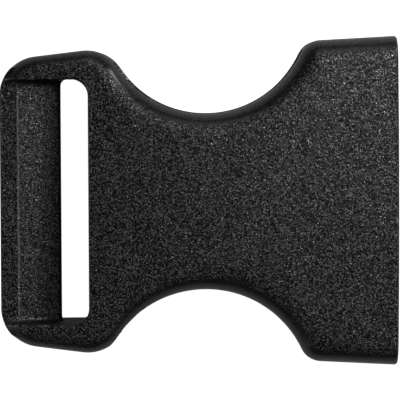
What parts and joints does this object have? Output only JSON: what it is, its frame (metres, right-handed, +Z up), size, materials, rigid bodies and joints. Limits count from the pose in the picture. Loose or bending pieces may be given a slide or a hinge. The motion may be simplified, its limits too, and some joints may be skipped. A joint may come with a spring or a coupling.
{
  "type": "side-release buckle socket",
  "caption": "Socket half of a side-release strap buckle: a hollow shell with an open mouth, a round cut-out in each side for the latch tabs, and a fixed bar and slot for sewn webbing.",
  "frame": {"origin": "centre of the flat underside, at the middle of the length and the width", "axes": "+X from the strap bar to the open mouth, +Y across to the left side, +Z up out of the face"},
  "size_m": [0.0424, 0.0352, 0.011],
  "materials": {
    "moulding": "black acetal, finely spark-eroded grain on the faces and smoother on the rounded edges"
  },
  "bodies": {
    "root": {"strap_bar": "moulding", "left_rail": "moulding", "right_rail": "moulding", "rear_bulkhead": "moulding", "left_ear": "moulding", "right_ear": "moulding", "upper_shell": "moulding", "lower_shell": "moulding", "left_latch_post": "moulding", "right_latch_post": "moulding", "upper_guide_ribs": "moulding", "lower_guide_ribs": "moulding"}
  },
  "joints": []
}
